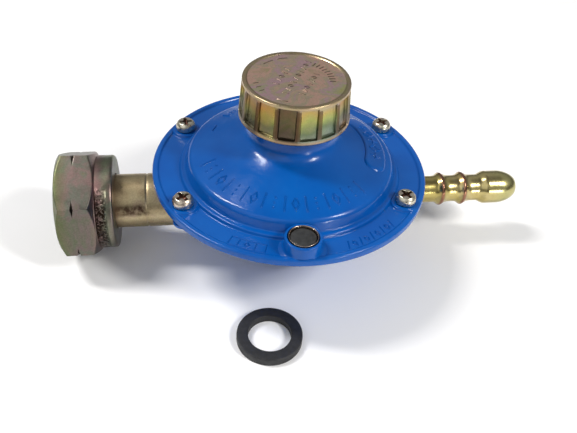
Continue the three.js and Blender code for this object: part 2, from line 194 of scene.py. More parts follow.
def newMaterial(name, **shaderValues):
    material = bpy.data.materials.new(name)
    material.use_nodes = True
    tree = material.node_tree
    shader = tree.nodes["Principled BSDF"]
    for key, value in shaderValues.items():
        shader.inputs[key].default_value = value
    place = addNode(tree, "ShaderNodeTexCoord").outputs["Object"]
    return material, tree, shader, place


def noise(tree, place, scale, detail=2.0, rough=0.5, swirl=0.0):
    node = addNode(tree, "ShaderNodeTexNoise", {
        "Vector": place, "Scale": scale, "Detail": detail, "Roughness": rough, "Distortion": swirl})
    return node.outputs["Fac"]


def ramp(tree, factor, stops):
    node = addNode(tree, "ShaderNodeValToRGB", {"Fac": factor})
    elements = node.color_ramp.elements
    while len(elements) < len(stops):
        elements.new(0.5)
    for element, (position, colour) in zip(elements, stops):
        element.position = position
        element.color = (*colour, 1.0)
    return node.outputs["Color"]


def mixColours(tree, factor, first, second, blend="MIX"):
    node = addNode(tree, "ShaderNodeMix", data_type="RGBA", blend_type=blend)
    for index, value in ((0, factor), (6, first), (7, second)):
        if isinstance(value, bpy.types.NodeSocket):
            tree.links.new(value, node.inputs[index])
        elif index == 0:
            node.inputs[0].default_value = value
        else:
            node.inputs[index].default_value = (*value, 1.0)
    return node.outputs[2]


def maths(tree, operation, first, second=0.0):
    node = addNode(tree, "ShaderNodeMath", operation=operation)
    for index, value in ((0, first), (1, second)):
        if isinstance(value, bpy.types.NodeSocket):
            tree.links.new(value, node.inputs[index])
        else:
            node.inputs[index].default_value = value
    return node.outputs[0]


def span(tree, value, low, high, toLow=0.0, toHigh=1.0):
    node = addNode(tree, "ShaderNodeMapRange", {
        "Value": value, "From Min": low, "From Max": high, "To Min": toLow, "To Max": toHigh})
    return node.outputs["Result"]


def axisValues(tree, place):
    # the object's own X, Y and Z in metres
    node = addNode(tree, "ShaderNodeSeparateXYZ", {"Vector": place})
    return node.outputs["X"], node.outputs["Y"], node.outputs["Z"]


def shadeOf(tree):
    return addNode(tree, "ShaderNodeAttribute", attribute_name="shade").outputs["Fac"]


def bump(tree, height, strength, distance, under=None):
    inputs = {"Height": height, "Strength": strength, "Distance": distance}
    if under is not None:
        inputs["Normal"] = under
    return addNode(tree, "ShaderNodeBump", inputs).outputs["Normal"]


paintLook = {
    "deep": (0.0004, 0.071, 0.330), "fresh": (0.0008, 0.096, 0.400), "wearAndShade": (0.004, 0.145, 0.500),
    "roughness": (0.14, 0.26), "castGrain": 420.0, "peel": 1500.0,
}


def bluePaint():
    look = paintLook
    material, tree, shader, place = newMaterial("blue_paint", **{
        "Coat Weight": 0.1, "Coat Roughness": 0.04, "IOR": 1.45, "Specular IOR Level": 0.3})
    broad = noise(tree, place, 55, 3, 0.55)
    colour = ramp(tree, broad, [(0.3, look["deep"]), (0.7, look["fresh"])])
    chips = noise(tree, place, 900, 4, 0.7)
    colour = mixColours(tree, span(tree, chips, 0.70, 0.76), colour, look["wearAndShade"])
    tree.links.new(colour, shader.inputs["Base Color"])
    gloss = noise(tree, place, 160, 3)
    tree.links.new(span(tree, gloss, 0.3, 0.7, *look["roughness"]), shader.inputs["Roughness"])
    cast = bump(tree, noise(tree, place, look["castGrain"], 3, 0.5, 0.3), 0.35, 0.00016)
    skin = bump(tree, noise(tree, place, look["peel"], 2, 0.5), 0.2, 0.00005, cast)
    tree.links.new(skin, shader.inputs["Normal"])
    return material


def platedZinc(name, stops, tint, patch, speckle=0.25, roughness=(0.24, 0.42), grain=0.25, swirl=0.6,
               drawn=None, peened=None):
    # patches of the rainbow film come from one broad noise through a ramp, the piece's own tint lies
    # over them, and fine specks darken the whole
    material, tree, shader, place = newMaterial(name, Metallic=1.0)
    film = noise(tree, place, patch, 4, 0.62, swirl)
    colour = tint(tree, place, ramp(tree, film, stops))
    specks = noise(tree, place, 2200, 3, 0.7)
    darker = span(tree, specks, 0.38, 0.62, speckle, 0.0)
    colour = mixColours(tree, darker, colour, (0.16, 0.13, 0.08), "MULTIPLY")
    tree.links.new(colour, shader.inputs["Base Color"])
    wear = noise(tree, place, 480, 4, 0.6)
    tree.links.new(span(tree, wear, 0.3, 0.7, *roughness), shader.inputs["Roughness"])
    normal = bump(tree, noise(tree, place, 1300, 4, 0.65), grain, 0.00008)
    if drawn:
        # fine rings or lines left by turning or drawing, stretched along one axis
        stretched = addNode(tree, "ShaderNodeMapping", {"Vector": place, "Scale": drawn}).outputs["Vector"]
        normal = bump(tree, noise(tree, stretched, 1.0, 3, 0.6), 0.35, 0.00004, normal)
    if peened:
        # coarse hammer marks inside the masked band
        marks = maths(tree, "MULTIPLY", noise(tree, place, 1250, 2, 0.6), peened(tree, place))
        normal = bump(tree, marks, 1.0, 0.0016, normal)
    tree.links.new(normal, shader.inputs["Normal"])
    return material


def plainMetal(name, dark, light, roughness=(0.25, 0.4), drawn=(300, 300, 4000)):
    material, tree, shader, place = newMaterial(name, Metallic=1.0)
    colour = ramp(tree, noise(tree, place, 240, 4, 0.6), [(0.3, dark), (0.7, light)])
    tree.links.new(colour, shader.inputs["Base Color"])
    tree.links.new(span(tree, noise(tree, place, 900, 3), 0.3, 0.7, *roughness), shader.inputs["Roughness"])
    stretched = addNode(tree, "ShaderNodeMapping", {"Vector": place, "Scale": drawn}).outputs["Vector"]
    tree.links.new(bump(tree, noise(tree, stretched, 1.0, 3, 0.6), 0.3, 0.00003), shader.inputs["Normal"])
    return material


def dullMaterial(name, dark, light, roughness=(0.6, 0.8), grain=2500.0, depth=0.00006):
    material, tree, shader, place = newMaterial(name)
    colour = ramp(tree, noise(tree, place, 700, 4, 0.65), [(0.35, dark), (0.7, light)])
    tree.links.new(colour, shader.inputs["Base Color"])
    tree.links.new(span(tree, noise(tree, place, 400, 3), 0.3, 0.7, *roughness), shader.inputs["Roughness"])
    tree.links.new(bump(tree, noise(tree, place, grain, 4, 0.6), 0.35, depth), shader.inputs["Normal"])
    return material


moss, greyGreen, gold = (0.09, 0.13, 0.06), (0.20, 0.22, 0.17), (0.40, 0.26, 0.06)
straw, tan, rose = (0.40, 0.34, 0.18), (0.34, 0.26, 0.19), (0.36, 0.20, 0.19)
copperTone = (0.30, 0.13, 0.09)
# how each side panel's colour is scaled, by its direction: 0 is -X, and a quarter of a turn is 0.25
knobTones = [
    (0.0, (1.0, 1.0, 1.0)), (0.06, (0.8, 0.78, 0.85)), (0.105, (0.8, 0.72, 0.7)), (0.112, (1.0, 0.68, 0.45)),
    (0.170, (0.85, 0.88, 0.45)), (0.176, (0.14, 0.13, 0.10)), (0.234, (0.17, 0.19, 0.15)),
    (0.240, (1.1, 1.2, 1.2)), (0.296, (1.0, 1.15, 1.3)), (0.302, (1.3, 1.5, 1.4)),
    (0.356, (1.1, 1.35, 1.8)), (0.364, (1.1, 0.95, 1.1)),
    (0.5, (1.0, 0.9, 0.9)), (0.7, (0.9, 0.95, 1.0)), (0.85, (1.3, 1.2, 1.1)), (1.0, (1.0, 1.0, 1.0))]


def knobTint(tree, place, colour):
    # the side panels go from gold under the rim to green near the foot, each with a tone of its own; the foot
    # ring has a painted highlight, the frames round the panels carry a painted dark reflection and the panel
    # edges painted shadow lines; a shade of 0.5 marks a frame and more marks a panel's edge
    across, depth, height = axisValues(tree, place)
    wander = span(tree, noise(tree, place, 70, 2), 0.3, 0.7, -0.0035, 0.0035)
    side = ramp(tree, span(tree, maths(tree, "ADD", height, wander), 0.0495, 0.0605), [
        (0.0, straw), (0.15, greyGreen), (0.38, moss), (0.60, (0.30, 0.30, 0.07)), (0.80, gold), (1.0, tan)])
    around = maths(tree, "ARCTAN2", depth, across)
    tone = ramp(tree, span(tree, around, -3.14, 3.14), knobTones)
    side = mixColours(tree, 1.0, side, tone, "MULTIPLY")
    colour = mixColours(tree, span(tree, height, 0.0600, 0.0606, 0.9, 0.0), colour, side)
    acrossSquare = maths(tree, "MULTIPLY", across, across)
    depthSquare = maths(tree, "MULTIPLY", depth, depth)
    reach = maths(tree, "SQRT", maths(tree, "ADD", acrossSquare, depthSquare))
    rim = maths(tree, "MULTIPLY", span(tree, reach, 0.01385, 0.0141), span(tree, height, 0.0600, 0.0604))
    colour = mixColours(tree, maths(tree, "MULTIPLY", rim, 0.75), colour, (0.36, 0.30, 0.15))
    # painted highlight: the foot ring is lightened towards tan
    foot = span(tree, height, 0.0500, 0.0505, 0.6, 0.0)
    colour = mixColours(tree, foot, colour, (0.52, 0.34, 0.20))
    # painted dark reflection on the frames between the panels, where the shade is 0.5
    fromRibReflection = maths(tree, "ABSOLUTE", maths(tree, "SUBTRACT", shadeOf(tree), 0.5))
    colour = mixColours(tree, span(tree, fromRibReflection, 0.0, 0.05, 0.75, 0.0), colour, (0.10, 0.055, 0.03))
    # painted shadow lines along the panel edges, where the shade is higher; the marks on the disc darken the
    # same way
    return mixColours(tree, span(tree, shadeOf(tree), 0.55, 1.0, 0.0, 0.9), colour, (0.045, 0.026, 0.012))


def nutPeening(tree, place):
    # a short arc at the front of the collar, just behind the hexagon
    along, depth, height = axisValues(tree, place)
    front, back = span(tree, along, -0.0588, -0.0582), span(tree, along, -0.0560, -0.0552, 1.0, 0.0)
    band = maths(tree, "MULTIPLY", front, back)
    top, foot = span(tree, height, 0.031, 0.0265), span(tree, height, 0.006, 0.011)
    low = maths(tree, "MULTIPLY", top, foot)
    arc = maths(tree, "MULTIPLY", low, span(tree, depth, -0.006, -0.009))
    return maths(tree, "MULTIPLY", band, arc)


def nutTint(tree, place, colour):
    # yellow-green on the chamfer at the front, a painted rose highlight where the hexagon meets the collar,
    # grey-green along the back and painted dark shade in the hollows of the peening
    along = axisValues(tree, place)[0]
    front = span(tree, along, -0.0702, -0.0655, 0.85, 0.0)
    colour = mixColours(tree, front, colour, (0.115, 0.145, 0.05))
    back = maths(tree, "ABSOLUTE", maths(tree, "ADD", along, 0.0555))
    colour = mixColours(tree, span(tree, back, 0.0, 0.0018, 0.5, 0.0), colour, (0.24, 0.28, 0.17))
    # painted highlight: a rose band where the hexagon meets the collar
    roseHighlightPlace = maths(tree, "ABSOLUTE", maths(tree, "ADD", along, 0.0582))
    colour = mixColours(tree, span(tree, roseHighlightPlace, 0.0, 0.0022, 0.45, 0.0), colour, rose)
    # painted shade: dark specks in the hollows of the peened band
    hollowShade = span(tree, noise(tree, place, 1500, 3, 0.6), 0.40, 0.52)
    wearAndShade = maths(tree, "MULTIPLY", nutPeening(tree, place), hollowShade)
    return mixColours(tree, wearAndShade, colour, (0.020, 0.012, 0.008))


def barbTint(tree, place, colour):
    # the crests are rubbed to a copper colour, and the nose is greener
    along = axisValues(tree, place)[0]
    colour = mixColours(tree, span(tree, along, 0.066, 0.072, 0.0, 0.6), colour, (0.46, 0.46, 0.20))
    return mixColours(tree, maths(tree, "MULTIPLY", shadeOf(tree), 0.9), colour, copperTone)


def screwTint(tree, place, colour):
    # the recess, where the shade is 1, is painted dark brown for the shade and reflection inside it
    return mixColours(tree, shadeOf(tree), colour, (0.13, 0.060, 0.045))


def stemTint(tree, place, colour):
    # a painted dark reflection as a streak along the front of the tube, and brown towards the nut
    along, depth, height = axisValues(tree, place)
    # painted dark reflection: a streak along the front of the tube
    fromReflectionStreak = maths(tree, "ABSOLUTE", maths(tree, "SUBTRACT", height, 0.0209))
    reflectionStreak = span(tree, fromReflectionStreak, 0.0012, 0.0023, 1.0, 0.0)
    reflectionStreak = maths(tree, "MULTIPLY", reflectionStreak, span(tree, depth, -0.006, -0.0075))
    broken = span(tree, noise(tree, place, 600, 4, 0.7), 0.35, 0.6, 0.5, 1.0)
    broken = maths(tree, "MULTIPLY", broken, span(tree, along, -0.0455, -0.0425, 0.95, 0.35))
    colour = mixColours(tree, maths(tree, "MULTIPLY", reflectionStreak, broken), colour, (0.045, 0.024, 0.016))
    return mixColours(tree, span(tree, along, -0.0535, -0.0505, 0.6, 0.0), colour, (0.20, 0.12, 0.075))


paint = bluePaint()
knobPlating = platedZinc("knob_plating", [
    (0.28, (0.58, 0.60, 0.26)), (0.38, (0.66, 0.50, 0.30)), (0.47, (0.90, 0.56, 0.44)),
    (0.53, (0.66, 0.54, 0.36)), (0.60, (0.76, 0.48, 0.52)), (0.66, (0.62, 0.56, 0.36)),
    (0.74, (0.62, 0.58, 0.22))],
    knobTint, 95, speckle=0.15, roughness=(0.26, 0.38), grain=0.12)
nutPlating = platedZinc("nut_plating", [
    (0.28, (0.13, 0.155, 0.06)), (0.38, (0.135, 0.145, 0.10)), (0.46, (0.18, 0.14, 0.13)),
    (0.52, (0.14, 0.15, 0.12)), (0.59, (0.23, 0.155, 0.145)), (0.66, (0.15, 0.16, 0.12)),
    (0.74, (0.27, 0.18, 0.05))], nutTint, 62, roughness=(0.30, 0.44), grain=0.2, peened=nutPeening)
stemPlating = platedZinc("stem_plating", [
    (0.28, (0.36, 0.33, 0.15)), (0.42, (0.44, 0.34, 0.20)), (0.55, (0.48, 0.40, 0.24)),
    (0.68, (0.42, 0.31, 0.22)), (0.8, rose)], stemTint, 90, roughness=(0.36, 0.48), drawn=(60, 1800, 1800))
barbPlating = platedZinc("barb_plating", [
    (0.28, (0.44, 0.36, 0.12)), (0.42, (0.52, 0.42, 0.15)), (0.55, (0.60, 0.50, 0.24)),
    (0.70, (0.50, 0.34, 0.10))],
    barbTint, 60, speckle=0.12, roughness=(0.19, 0.28), grain=0.12, swirl=0.4, drawn=(2600, 40, 40))
screwPlating = platedZinc("screw_plating", [
    (0.3, (0.60, 0.60, 0.48)), (0.5, (0.72, 0.66, 0.54)), (0.65, (0.60, 0.48, 0.40)),
    (0.8, (0.60, 0.64, 0.42))], screwTint, 260, speckle=0.3, roughness=(0.22, 0.36), swirl=0.5)
ringPlating = plainMetal("ring_plating", (0.30, 0.22, 0.18), (0.56, 0.46, 0.38), (0.18, 0.34))
brightZinc = plainMetal("bright_zinc", (0.42, 0.41, 0.38), (0.62, 0.61, 0.57))
turnedBrass = plainMetal("turned_brass", (0.50, 0.34, 0.11), (0.68, 0.50, 0.20))
springWire = plainMetal("spring_wire", (0.26, 0.27, 0.29), (0.42, 0.43, 0.45), (0.2, 0.32), (900, 900, 900))
softCopper = plainMetal("soft_copper", (0.45, 0.18, 0.09), (0.62, 0.30, 0.17), (0.3, 0.45))
blackRubber = dullMaterial("black_rubber", (0.011, 0.011, 0.012), (0.022, 0.022, 0.024), (0.5, 0.7))
plugFelt = dullMaterial("vent_plug", (0.012, 0.013, 0.014), (0.034, 0.036, 0.037), (0.5, 0.75), 3200, 0.0001)
print("materials made")


coverSize = {
    "flangeRadius": 42.0, "flangeTop": 31.0, "faceHeight": 30.3, "underside": 28.6, "stepTop": 31.4,
    "domeEdge": 31.0, "domeEdgeHeight": 35.0, "neckFootRadius": 17.2, "neckFootHeight": 40.1,
    "neckRadius": 12.0, "neckTop": 54.5, "neckBore": 9.0, "padRadius": 4.15, "padTop": 31.1, "padReach": 41.0,
    "screwCircle": 37.3, "circleTurn": -2.4, "ventCircle": 36.7, "ventTop": 34.8, "ventRadius": 5.2,
    "ventPocket": 4.45, "bossFootReach": 41.55, "bossReach": 41.95, "segments": 288,
}
screwAngles = [turn + coverSize["circleTurn"] for turn in (30, 90, 150, 210, 330)]
ventAngle = 270 + coverSize["circleTurn"]
ventCentre = polar(coverSize["ventCircle"], ventAngle)

def outsideProfile():
    # rim, face, step, dome and neck, from the underside up to the top of the neck
    size = coverSize
    return softProfile([
        (size["flangeRadius"] - 1, size["underside"], 0), (size["flangeRadius"], size["underside"], 0.5),
        (size["flangeRadius"], size["flangeTop"], 0.9), (40.45, size["flangeTop"], 0.45),
        (39.95, size["faceHeight"], 0.45), (33.95, size["faceHeight"], 0.35), (33.5, size["stepTop"], 0.45),
        (32.15, size["stepTop"], 0.5), (size["domeEdge"], size["domeEdgeHeight"], 1.25),
        (size["neckFootRadius"], size["neckFootHeight"], 2.6), (12.9, 42.4, 2.4),
        (size["neckRadius"], 46.8, 2.2), (size["neckRadius"], size["neckTop"], 0.5),
        (size["neckBore"], size["neckTop"], 0)], steps=8)


coverOutside = outsideProfile()


def coverHeight(x, y):
    # the height of the outside at a point in plan, read off the profile by the distance from the axis
    outer = coverOutside[coverOutside[:, 1] > coverSize["faceHeight"] - 0.1]
    order = np.argsort(outer[:, 0], kind="stable")
    return np.interp(np.hypot(x, y), outer[order, 0], outer[order, 1])


def coverShells():
    # the turned profile, plus turned pads and a turned boss moved to their places: where they would
    # pass the rim, their distance from the axis is cut down to it
    size = coverSize
    inside = softProfile([
        (size["neckBore"], size["neckTop"], 0), (size["neckBore"], 38.2, 0.4), (15.0, 37.9, 1.0),
        (28.9, 33.2, 1.2), (30.0, size["underside"], 0.3), (size["flangeRadius"] - 1, size["underside"], 0)])
    shell = np.concatenate([coverOutside, inside[1:-1]])
    shells = [(spinZ(shell, size["segments"]), True, True)]
    padEdge = softProfile([
        (5.2, 29.2, 0), (5.2, 30.25, 0), (4.5, 30.4, 0.4), (size["padRadius"], size["padTop"], 0.35),
        (0, size["padTop"], 0)])
    pad = np.concatenate([[[0, 29.2]], padEdge])
    for degrees in screwAngles:
        disc = spinZ(pad, 72, polar(size["screwCircle"], degrees))
        reach = np.hypot(disc[..., 0], disc[..., 1])
        disc[..., :2] *= np.minimum(1, size["padReach"] / np.maximum(reach, 1e-6))[..., None]
        shells.append((disc, True, False))
    boss = softProfile([
        (0, 31.0, 0), (size["ventPocket"], 31.0, 0.2), (size["ventPocket"], size["ventTop"], 0.12),
        (size["ventRadius"], size["ventTop"], 0.45), (size["ventRadius"] + 0.05, 30.9, 0.8),
        (6.6, 30.34, 0.5), (7.0, 30.0, 0), (5.0, 28.7, 0), (0, 28.7, 0)], steps=7)
    ring = spinZ(boss, 96, ventCentre)
    reach = np.hypot(ring[..., 0], ring[..., 1])
    limit = np.where(ring[..., 2] < 31.2, size["bossFootReach"], size["bossReach"])
    ring[..., :2] *= np.minimum(1, limit / np.maximum(reach, 1e-6))[..., None]
    shells.append((ring, True, False))
    return shells


cover = makePiece("cover_casting", coverShells(), paint, ["cover"], sharp=50)


marksSize = {"strokeWidth": 0.62, "strokeHeight": 0.42, "fineWidth": 0.5, "fineHeight": 0.34,
             "frame": (36.5, 39.7, -123, -107.5)}
signs = {
    "bar": [[(0.5, 0), (0.5, 1)]],
    "lean": [[(0.2, 0), (0.8, 1)]],
    "diamond": [[(0.5, 0.1), (0.95, 0.5), (0.5, 0.9), (0.05, 0.5), (0.5, 0.1)]],
    "dots": [[(0.5, 0.12), (0.5, 0.18)], [(0.5, 0.47), (0.5, 0.53)], [(0.5, 0.82), (0.5, 0.88)]],
}


def signRow(row, inner, outer, fromDegrees, toDegrees, width, height, gapShare=0.28):
    # the signs stand side by side on an arc: across each sign the angle runs, up it the radius
    shells = []
    pitch = (toDegrees - fromDegrees) / len(row)
    for place, sign in enumerate(row):
        for path in signs[sign]:
            path = np.array(path, float)
            degrees = fromDegrees + pitch * (place + gapShare / 2 + path[:, 0] * (1 - gapShare))
            radius = outer + (inner - outer) * path[:, 1]
            shells.append(ridge(polar(radius, degrees), coverHeight, width, height))
    return shells


def arcPath(radius, fromDegrees, toDegrees, count=24):
    # points at equal steps of the angle, all at one distance from the axis
    return polar(np.full(count, float(radius)), np.linspace(fromDegrees, toDegrees, count))


def coverMarks():
    # ridges laid on the cover: a row of signs on the dome, shorter rows on the flange, one framed row
    # and a broad flat pad on the right
    stroke, rise = marksSize["strokeWidth"], marksSize["strokeHeight"]
    fine, low = marksSize["fineWidth"], marksSize["fineHeight"]
    shells = signRow(["bar", "dots", "bar", "diamond"] * 4 + ["bar", "dots", "bar"],
                     23.9, 28.3, -170, -46, stroke, rise)
    shells += signRow(["lean", "diamond"] * 4 + ["lean"], 36.7, 39.5, -74, -47, fine, low)
    shells += signRow(["bar", "diamond", "bar"], 37.0, 39.0, -121, -110, fine, low)
    inner, outer, first, last = marksSize["frame"]
    for degrees in (first, last):
        shells.append(ridge([polar(inner, degrees), polar(outer, degrees)], coverHeight, 0.4, 0.28))
    for radius in (inner, outer):
        shells.append(ridge(arcPath(radius, first, last), coverHeight, 0.4, 0.28))
    shells += signRow(["dots", "diamond", "bar"], 24.6, 27.4, 124, 138, fine, low)
    shells.append(ridge(arcPath(25.2, 151, 158), coverHeight, fine, low))
    shells.append(ridge(arcPath(25.6, -21, 29, 60), coverHeight, 6.6, 0.5, flat=0.86))
    return shells


def raisedPadHeight(x, y):
    # the top of the broad pad, which stands half a millimetre above the cover
    return coverHeight(x, y) + 0.5


def padMarks():
    # three small crosses with two diamonds between them, on the broad pad
    shells = []
    for path in ([(0.5, 0.1), (0.5, 0.9)], [(0.1, 0.5), (0.9, 0.5)]):
        path = np.array(path)
        for middle in (-14, 3, 20):
            place = polar(27.4 - 3.6 * path[:, 1], middle + 7 * (path[:, 0] - 0.5))
            shells.append(ridge(place, raisedPadHeight, 0.5, 0.3))
    for middle in (-5.5, 11.5):
        place = [polar(25.6 + r, middle + d) for r, d in ((1.8, 0), (0, 3.4), (-1.8, 0), (0, -3.4), (1.8, 0))]
        shells.append(ridge(place, raisedPadHeight, 0.5, 0.3))
    return shells


marks = makePiece("cover_marks", coverMarks() + padMarks(), paint, sharp=60)
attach(cover, "housing")
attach(marks, "housing")
print("cover made")


screwSize = {"headRadius": 3.1, "seat": 31.4, "headHeight": 2.55, "shankRadius": 1.7, "tip": 24.3,
             "armLength": 1.95, "armWidth": 0.46, "coreRadius": 0.9, "recessDepth": 1.5}


def screwShell(centre, degrees):
    # a lathe profile whose top is pushed down inside a cross, the nearest of two bars and a core
    size = screwSize
    top = size["seat"] + size["headHeight"]
    lower = softProfile([
        (0, size["tip"], 0), (1.3, size["tip"], 0.2), (size["shankRadius"], size["tip"] + 0.6, 0.2),
        (size["shankRadius"], size["seat"], 0.1), (size["headRadius"], size["seat"], 0.2),
        (size["headRadius"], size["seat"] + 1.55, 0.75), (2.35, top - 0.1, 0.5), (2.1, top, 0)], steps=4)
    flatTop = np.stack([np.linspace(2.02, 0, 27), np.full(27, top)], -1)
    grid = spinZ(np.concatenate([lower, flatTop]), 96)
    x, y = grid[..., 0], grid[..., 1]
    barX = np.maximum(np.abs(x) - size["armLength"], np.abs(y) - size["armWidth"])
    barY = np.maximum(np.abs(y) - size["armLength"], np.abs(x) - size["armWidth"])
    inside = np.minimum(np.minimum(barX, barY), np.hypot(x, y) - size["coreRadius"])
    onTop = grid[..., 2] > top - 0.001
    taper = 1 - 0.45 * np.clip(np.hypot(x, y) / size["armLength"], 0, 1)
    cut = onTop * smoothStep(0.08, -0.1, inside)
    grid[..., 2] -= size["recessDepth"] * taper * cut
    turn = math.radians(degrees)
    placed = grid.copy()
    placed[..., 0] = centre[0] + x * math.cos(turn) - y * math.sin(turn)
    placed[..., 1] = centre[1] + x * math.sin(turn) + y * math.cos(turn)
    # cut marks the recess, which carries a painted shade
    return placed, True, False, cut


for number, (degrees, twist) in enumerate(zip(screwAngles, (20, 50, 8, 35, 28)), start=1):
    screw = makePiece(f"pan_screw_{number}", [screwShell(polar(coverSize["screwCircle"], degrees), twist)],
                      screwPlating, [f"cover_screw_{number}"], sharp=40)
    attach(screw, "housing")
print("screws made")


cupProfile = softProfile([
    (1.0, 30.9, 0.1), (4.15, 30.9, 0.3), (4.15, 34.95, 0.12), (4.05, 35.1, 0.08), (3.88, 34.9, 0.12),
    (3.78, 34.2, 0.2), (3.78, 31.7, 0.2), (1.0, 31.7, 0.1)], closed=True)
ventRing = makePiece("vent_ring", [(spinZ(cupProfile, 96, ventCentre), True, True)], ringPlating,
                     ["vent_cup"])
discProfile = softProfile([
    (0, 32.0, 0), (3.6, 32.0, 0.1), (3.6, 34.45, 0.2), (2.8, 34.55, 0.3), (0, 34.3, 0)], steps=6)
ventPlug = makePiece("vent_plug", [(spinZ(discProfile, 64, ventCentre), True, False)], plugFelt,
                     ["vent_disc"])
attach(ventRing, "housing")
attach(ventPlug, "housing")


knobSize = {"bottom": 49.3, "top": 61.0, "bottomRadius": 16.3, "topRadius": 15.4, "flutes": 16,
            "firstRib": -95.1, "panelHalf": 2.42, "panelDepth": 0.95, "panelLow": 50.65, "panelHigh": 59.95,
            "discHeight": 60.65}
markShade = 0.92      # how dark the marks on the disc are


def knobShell():
    # a lathe profile whose side is cut back to a flat inside each panel window
    size = knobSize
    pitch = 360 / size["flutes"]
    share = np.array([-11.25, -10.3, -9.6, -9.2, -8.9, -8.6, -8.2, -7.2, -5.0, -2.5, 0, 2.5, 5.0, 7.2, 8.2,
                      8.6, 8.9, 9.2, 9.6, 10.3]) / 22.5
    middles = size["firstRib"] + pitch / 2 + pitch * np.arange(size["flutes"])
    angle = np.radians((middles[:, None] + pitch * share[None, :]).reshape(-1))[:, None]
    away = np.radians(np.tile(share * pitch, size["flutes"]))[:, None]
    slope = (size["bottomRadius"] - size["topRadius"]) / (size["top"] - size["bottom"])
    sideHeights = np.concatenate([
        [50.1, 50.45, 50.6, 50.7, 50.85, 51.1], np.linspace(51.6, 59.2, 8),
        [59.6, 59.8, 59.9, 60.0, 60.15, 60.3]])
    side = np.stack([size["bottomRadius"] - slope * (sideHeights - size["bottom"]), sideHeights], -1)
    foot = softProfile([
        (0, 59.2, 0), (13.4, 59.2, 0.6), (13.8, size["bottom"], 0.3), (16.32, size["bottom"], 0.35),
        (16.22, 50.1, 0)])
    crown = softProfile([
        (15.45, 60.35, 0), (15.38, size["top"], 0.4), (14.3, size["top"], 0.3),
        (13.95, size["discHeight"], 0.3), (0, size["discHeight"], 0)], steps=7)
    profile = np.concatenate([foot, side[1:], crown])
    radius = np.broadcast_to(profile[:, 0][None, :], (len(angle), len(profile))).copy()
    height = np.broadcast_to(profile[:, 1][None, :], radius.shape)
    onSide = np.zeros(len(profile), bool)
    onSide[len(foot):len(foot) + len(side) - 1] = True
    window = smoothStep(size["panelLow"] - 0.08, size["panelLow"] + 0.2, height)
    window = window * smoothStep(size["panelHigh"] + 0.12, size["panelHigh"] - 0.12, height)
    window = window * smoothStep(size["panelHalf"] + 0.12, size["panelHalf"] - 0.12, np.abs(away) * radius)
    flat = (radius - size["panelDepth"]) / np.cos(away)
    radius -= onSide[None, :] * window * np.maximum(radius - flat, 0)
    # 0.5 on the frames and up to 1 at the panel edges: the mask for their painted dark reflection and painted
    # shadow lines
    onFrame = onSide[None, :] * (height < size["panelHigh"] - 0.2) * (height > size["panelLow"])
    paintedShadeLines = onFrame * np.maximum(0.5 * (window < 0.3), 4 * window * (1 - window))
    return np.stack([np.cos(angle) * radius, np.sin(angle) * radius, height], -1), True, False, paintedShadeLines


def knobDiscHeight(x, y):
    # the top is flat inside the rim
    return np.full(np.shape(x), knobSize["discHeight"])


def knobMarks():
    # three slanting rows of short bars and diamonds, and an arc of bars beside them
    shells = []
    rows = (((-6.6, -3.0), (-1.5, 6.4), 5), ((-4.6, -8.0), (5.2, 10.6), 10), ((-0.1, -8.6), (6.5, 3.4), 7))
    for start, end, count in rows:
        start, end = np.array(start), np.array(end)
        along = (end - start) / np.linalg.norm(end - start)
        across = np.array([-along[1], along[0]])
        for place in range(count):
            middle = start + (end - start) * (place + 0.5) / count
            if place % 3 == 2:
                path = [middle + along * a + across * b for a, b in
                        ((0.6, 0), (0, 0.75), (-0.6, 0), (0, -0.75), (0.6, 0))]
            elif place % 3 == 1:
                path = [middle - across * 0.85 - along * 0.35, middle + across * 0.85 + along * 0.35]
            else:
                path = [middle - across * 0.85, middle + across * 0.85]
            shells.append(ridge(path, knobDiscHeight, 0.42, 0.10, spacing=0.3))
    for degrees in np.linspace(52, -8, 9):
        shells.append(ridge([polar(9.3, degrees), polar(10.9, degrees)], knobDiscHeight, 0.45, 0.13))
    for degrees in (188, 198, 208):
        shells.append(ridge([polar(11.2, degrees), polar(12.5, degrees)], knobDiscHeight, 0.4, 0.12))
    for fromDegrees, toDegrees in ((96, 110), (118, 134), (236, 250)):
        shells.append(ridge(arcPath(12.1, fromDegrees, toDegrees), knobDiscHeight, 0.4, 0.12))
    return [(*shell, np.full(shell[0].shape[:2], markShade)) for shell in shells]


hub = softProfile([(4.3, 55.3, 0.2), (7.0, 55.3, 0.2), (7.0, 59.6, 0), (4.3, 59.6, 0)], closed=True)
knobCap = makePiece("knob_cap", [knobShell(), (spinZ(hub, 64), True, True)] + knobMarks(), knobPlating,
                    ["knob"], sharp=30)
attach(knobCap, "knob")
print("knob made")


nutSize = {"front": -70.0, "hexEnd": -58.7, "back": -53.5, "flats": 30.0, "chamferStart": 14.6,
           "chamferRise": 1.6, "collarRadius": 14.3, "bore": 10.9, "threadDepth": 0.5, "threadPitch": 1.814,
           "corner": 33.0, "notchMiddle": -64.65, "notchFloor": 16.1, "notchSlope": 2.67, "softness": 0.05,
           "backBore": 8.65, "shoulder": -57.1, "boreSteps": 75}


